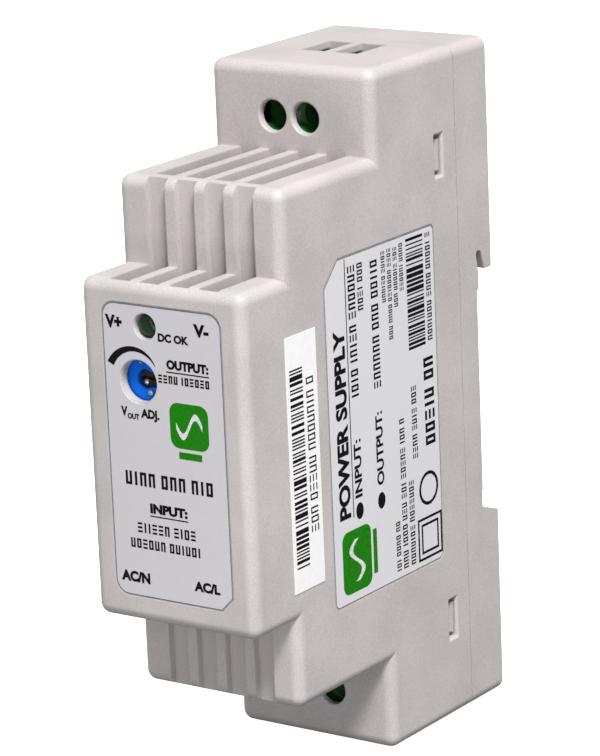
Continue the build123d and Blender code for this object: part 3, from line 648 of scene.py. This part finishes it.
    def lay(self, name, material, slot):
        """Stand the ink on the label as one piece."""
        mesh = mesh_from(self.bm, name)
        mesh.transform(self.matrix)
        return add_piece(name, mesh, material)


# ----------------------------------------------------------------------------- printing on labels
# Boxes on the labels are (left, right, low, high) in millimetres.
TRIMMER_AT = (-3.9, 10.9)
# width of the painted shadow line round a label
SHADOW_LINE_WIDTH = 0.1         # width of the line round a label


def on_front():
    """Reading runs along X on the front, so u is X and v is Z."""
    return Print((1, 0, 0), (0, 0, 1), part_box("front_label")[0])


def on_side(node):
    """Reading runs upwards on the side, so u is Z and v is minus Y."""
    return Print((0, 0, 1), (0, -1, 0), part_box(node)[1])


def arc_of_adjustment(sheet):
    """The tapering arc over the trimmer, thick at its left end."""
    start, sweep, steps = 155, 116, 40
    u, v = TRIMMER_AT
    outer, inner = [], []
    for i in range(steps + 1):
        t = i / steps
        a = math.radians(start - sweep * t)
        middle = 4.6 - 1.05 * t ** 1.4
        width = (1 - t) ** 0.8 + 0.05
        for line, radius in ((outer, middle + width / 2), (inner, middle - width / 2)):
            line.append((u + radius * math.cos(a), v + radius * math.sin(a)))
    sheet.band(outer, inner, closed=False)


def front_print():
    """Words, signs and the arc of adjustment on the front label, and the painted shadow line round
    it.
    """
    sheet = on_front()
    sheet.word("V+", -8.6, -6.0, 17.45, 19.15, 0.055)
    sheet.word("V-", 5.0, 7.3, 17.65, 19.3, 0.055)
    sheet.word("DC OK", -0.5, 4.2, 16.45, 17.55, 0.05)
    sheet.word("OUTPUT:", 0.6, 7.0, 13.05, 14.3, 0.06)
    sheet.bar(0.55, 7.05, 12.62, 12.78)
    sheet.greek(-0.75, 7.8, 11.2, 12.25, 3, 0.22)
    sheet.word("V", -6.85, -5.85, 6.25, 7.5, 0.05)
    sheet.word("OUT", -5.85, -4.05, 5.95, 6.7, 0.05)
    sheet.word("ADJ.", -3.75, -0.9, 5.95, 7.5, 0.05)
    sheet.greek(-6.7, 6.9, -2.65, -0.85, 8, 0.2)
    sheet.word("INPUT:", -3.1, 2.7, -6.05, -4.75, 0.06)
    sheet.bar(-3.15, 2.75, -6.5, -6.34)
    sheet.greek(-5.2, 4.6, -8.8, -7.5, 11, 0.2)
    sheet.greek(-6.4, 5.6, -10.9, -9.65, 12, 0.2)
    sheet.word("AC/N", -8.2, -3.7, -15.55, -14.1, 0.055)
    sheet.word("AC/L", 3.2, 7.2, -15.35, -14.0, 0.055)
    arc_of_adjustment(sheet)
    sheet.lay("front_label_print", "ink", "label_film")
    # painted shadow: a dark grey line round the label stands for the shade at the edge of its recess
    edge = on_front()
    edge.frame(-9.03, 9.08, -17.28, 20.78, (1.9, 1.9, 1.9, -1.75), SHADOW_LINE_WIDTH)
    edge.lay("front_label_painted_shadow", "shadow_line_ink", "label_film")


def green_mark(sheet, knock_out, u0, u1, v0, v1):
    """A plain green tile with a pale wave across it, and a plain strip under it."""
    sheet.rounded(u0, u1, v0, v1, 1.3)
    sheet.bar(u0 + 1.2, u1 - 1.2, v0 - 1.35, v0 - 0.45)
    middle, reach = (v0 + v1) / 2, (u1 - u0) * 0.34
    centre = (u0 + u1) / 2
    height, half_width, half_steps = 1.35, 0.42, 16
    upper, lower = [], []
    for i in range(2 * half_steps + 1):
        t = i / half_steps - 1
        wave = middle + height * math.sin(math.pi * t)
        upper.append((centre + reach * t, wave + half_width))
        lower.append((centre + reach * t, wave - half_width))
    knock_out.band(upper, lower, closed=False)


def marks():
    """The green marks; each pale wave lies a little proud of its tile."""
    proud = 0.6 * INK
    green, pale = on_front(), on_front()
    green_mark(green, pale, 0.7, 6.6, 3.05, 8.9)
    green.lay("front_label_mark", "green_ink", "label_film")
    wave = pale.lay("front_label_wave", "white_ink", "label_film")
    wave.location.y -= proud
    green, pale = on_side("side_label"), on_side("side_label")
    green_mark(green, pale, -20.6, -12.2, 27.3, 33.9)
    green.lay("side_label_mark", "green_ink", "label_film")
    wave = pale.lay("side_label_wave", "white_ink", "label_film")
    wave.location.x += proud


def side_print():
    """Words, signs and plain stripes on the side label, and the painted shadow line round it."""
    sheet = on_side("side_label")
    sheet.word("POWER SUPPLY", -10.4, 14.6, 31.6, 34.2, 0.04)
    sheet.bar(-10.6, 23.3, 30.95, 31.12)
    sheet.disc(-10.1, 29.6, 1.1, 0.85)
    sheet.word("INPUT:", -8.3, -0.6, 28.85, 30.5, 0.03)
    sheet.greek(5.0, 22.8, 28.85, 30.45, 21)
    sheet.greek(16.0, 22.8, 27.1, 28.3, 22)
    sheet.disc(-10.1, 24.5, 1.1, 0.85)
    sheet.word("OUTPUT:", -8.0, 1.8, 23.7, 25.35, 0.03)
    sheet.greek(5.0, 22.8, 23.7, 25.3, 24)
    for row, (end, height) in enumerate(((-14.0, 1.0), (-0.5, 1.15), (-8.2, 1.1))):
        sheet.greek(-20.8, end, 20.4 - 1.75 * row, 20.4 - 1.75 * row + height, 31 + row)
    for row, start in enumerate((15.8, 10.6, 14.6, 16.4)):
        sheet.greek(start, 22.9, 21.9 - 1.4 * row, 22.75 - 1.4 * row, 41 + row)
    sheet.greek(-6.6, 3.4, 15.6, 16.75, 51)
    sheet.greek(-5.6, 6.9, 11.3, 13.6, 52, 0.2)
    sheet.stripes(8.1, 23.3, 12.9, 16.9, 61, 0.19)
    sheet.greek(8.4, 23.2, 11.2, 12.3, 62)
    sheet.square(-18.1, 13.3, 2.9, 0.34)
    sheet.square(-18.1, 13.3, 2.05, 0.34)
    sheet.ring(-11.4, 13.3, 2.3, 0.45)
    sheet.lay("side_label_print", "ink", "label_film")
    # painted shadow: a dark grey line round the label stands for the shade at the edge of its recess
    edge = on_side("side_label")
    edge.frame(-21.78, 23.58, 10.27, 35.78, (-3.15, 0.9, 0.9, 0.9), SHADOW_LINE_WIDTH)
    edge.lay("side_label_painted_shadow", "shadow_line_ink", "label_film")


def sticker_print():
    """Plain stripes and a row of signs on the sticker."""
    sheet = on_side("barcode_sticker")
    sheet.stripes(-13.9, 12.2, 41.4, 44.2, 71, 0.21)
    sheet.greek(-9.9, 10.6, 39.1, 40.7, 72, 0.14)
    sheet.lay("sticker_print", "ink", "paper_sticker")


# ---------------------------------------------------------------------- spring and trimmer details
def foot_spring():
    """The foot's coil spring, built here as a fixed helix; the real one shortens as the foot is
    pulled.
    """
    low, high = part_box("foot_spring")
    centre = (low + high) / 2
    wire = 0.2 * MM
    mean = (high.x - low.x) / 2 - wire
    turns, per_turn, around = 10, 28, 10
    count = turns * per_turn
    bm = bmesh.new()
    rings = []
    for i in range(count + 1):
        a = 2 * math.pi * i / per_turn
        t = i / count
        rise = low.z + wire + (high.z - low.z - 2 * wire) * t
        middle = Vector((centre.x + mean * math.cos(a), centre.y + mean * math.sin(a), rise))
        out = Vector((math.cos(a), math.sin(a), 0))
        ring = []
        for k in range(around):
            b = 2 * math.pi * k / around
            radial = out * math.cos(b) + Vector((0, 0, math.sin(b)))
            ring.append(bm.verts.new(middle + wire * radial))
        rings.append(ring)
    for first, second in zip(rings, rings[1:]):
        for k in range(around):
            n = (k + 1) % around
            bm.faces.new((first[k], first[n], second[n], second[k]))
    bm.faces.new(rings[0])
    bm.faces.new(rings[-1])
    for face in bm.faces:
        face.smooth = True
    spring = add_piece("foot_coil", mesh_from(bm, "foot_coil"), "spring")
    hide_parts("foot_spring")
    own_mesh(spring)


def lathe(bm, centre, profile, steps=32):
    """Turn (radius, y) points in millimetres about a Y axis through centre; the ends are closed."""
    rows = []
    for radius, y in profile:
        row = []
        for i in range(steps):
            a = 2 * math.pi * i / steps
            x = centre[0] * MM + radius * MM * math.cos(a)
            z = centre[1] * MM + radius * MM * math.sin(a)
            row.append(bm.verts.new((x, y * MM, z)))
        rows.append(row)
    for first, second in zip(rows, rows[1:]):
        for i in range(steps):
            j = (i + 1) % steps
            bm.faces.new((first[i], first[j], second[j], second[i])).smooth = True
    bm.faces.new(rows[0])
    bm.faces.new(rows[-1])


def add_box(bm, low, high):
    """An upright box between two corners in millimetres."""
    ends = (Vector(low) * MM, Vector(high) * MM)
    pair = (0, 1)
    corner = [[[bm.verts.new((ends[i].x, ends[j].y, ends[k].z)) for k in pair]
               for j in pair] for i in pair]
    for i in pair:
        bm.faces.new((corner[i][0][0], corner[i][0][1], corner[i][1][1], corner[i][1][0]))
        bm.faces.new((corner[0][i][0], corner[0][i][1], corner[1][i][1], corner[1][i][0]))
        bm.faces.new((corner[0][0][i], corner[0][1][i], corner[1][1][i], corner[1][0][i]))


RIVETS = ((0.66, -1.72, 0.4), (-0.73, 2.1, 0.2))    # x and z from the trimmer's centre, radius


def trimmer_rivets():
    """The heads of the rivets on the trimmer's collar."""
    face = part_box("trimmer_body")[0].y / MM
    centre_x, centre_z = TRIMMER_AT
    bm = bmesh.new()
    for x, z, radius in RIVETS:
        profile = [(radius, face + 0.1), (radius, face - 0.05), (0.78 * radius, face - 0.14),
                   (0.26 * radius, face - 0.17)]
        lathe(bm, (centre_x + x, centre_z + z), profile, 20)
    add_piece("trimmer_rivets", mesh_from(bm, "trimmer_rivets"), "nickel")


def trimmer_slot_shade():
    """Thin black sheets on the floor and walls of the slot in the trimmer's collar: painted shade
    that makes the slot read as a dark hollow.
    """
    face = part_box("trimmer_body")[0].y / MM
    centre_x, centre_z = TRIMMER_AT
    near, far, floor = centre_x + 1.3, centre_x + 2.65, face + 0.72
    bm = bmesh.new()
    # painted shade: a black sheet on the slot's floor and black sheets on its walls
    add_box(bm, (near, face + 0.65, centre_z - 0.99), (far, floor, centre_z + 0.99))
    for side in (-1, 1):
        across = sorted((centre_z + side * 0.97, centre_z + side * 1.01))
        add_box(bm, (near, face + 0.02, across[0]), (far, floor, across[1]))
    add_piece("trimmer_slot_shade", mesh_from(bm, "trimmer_slot_shade"), "rotor")


def trimmer_wiper():
    """The sprung strip on the trimmer's rotor, which turns with it."""
    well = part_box("trimmer_rotor")[0].y / MM
    centre_x, centre_z = TRIMMER_AT
    profile = [(0.1, -0.02), (0.35, -0.2), (0.7, -0.26), (1.05, -0.06)]
    half_width, thickness = 0.34, 0.12
    tilt = math.radians(-112)
    wiper = bmesh.new()
    top, bottom = [], []
    for side in (-half_width, half_width):
        for rows, lift in ((top, 0.0), (bottom, thickness)):
            line = []
            for along, y in profile:
                x = along * math.cos(tilt) - side * math.sin(tilt)
                z = along * math.sin(tilt) + side * math.cos(tilt)
                at = Vector((centre_x + x, well + y + lift, centre_z + z)) * MM
                line.append(wiper.verts.new(at))
            rows.append(line)
    for i in range(len(profile) - 1):
        for rows in (top, bottom):
            wiper.faces.new((rows[0][i], rows[0][i + 1], rows[1][i + 1], rows[1][i])).smooth = True
        for k in (0, 1):
            wiper.faces.new((top[k][i], top[k][i + 1], bottom[k][i + 1], bottom[k][i]))
    for i in (0, -1):
        wiper.faces.new((top[0][i], top[1][i], bottom[1][i], bottom[0][i]))
    add_piece("trimmer_wiper", mesh_from(wiper, "trimmer_wiper"), "nickel",
              "trimmer_rotor")


# ------------------------------------------------------------------------------------------ build
add_camera()
add_stage()
paint_nodes()
front_print()
marks()
side_print()
sticker_print()
foot_spring()
trimmer_rivets()
trimmer_slot_shade()
trimmer_wiper()
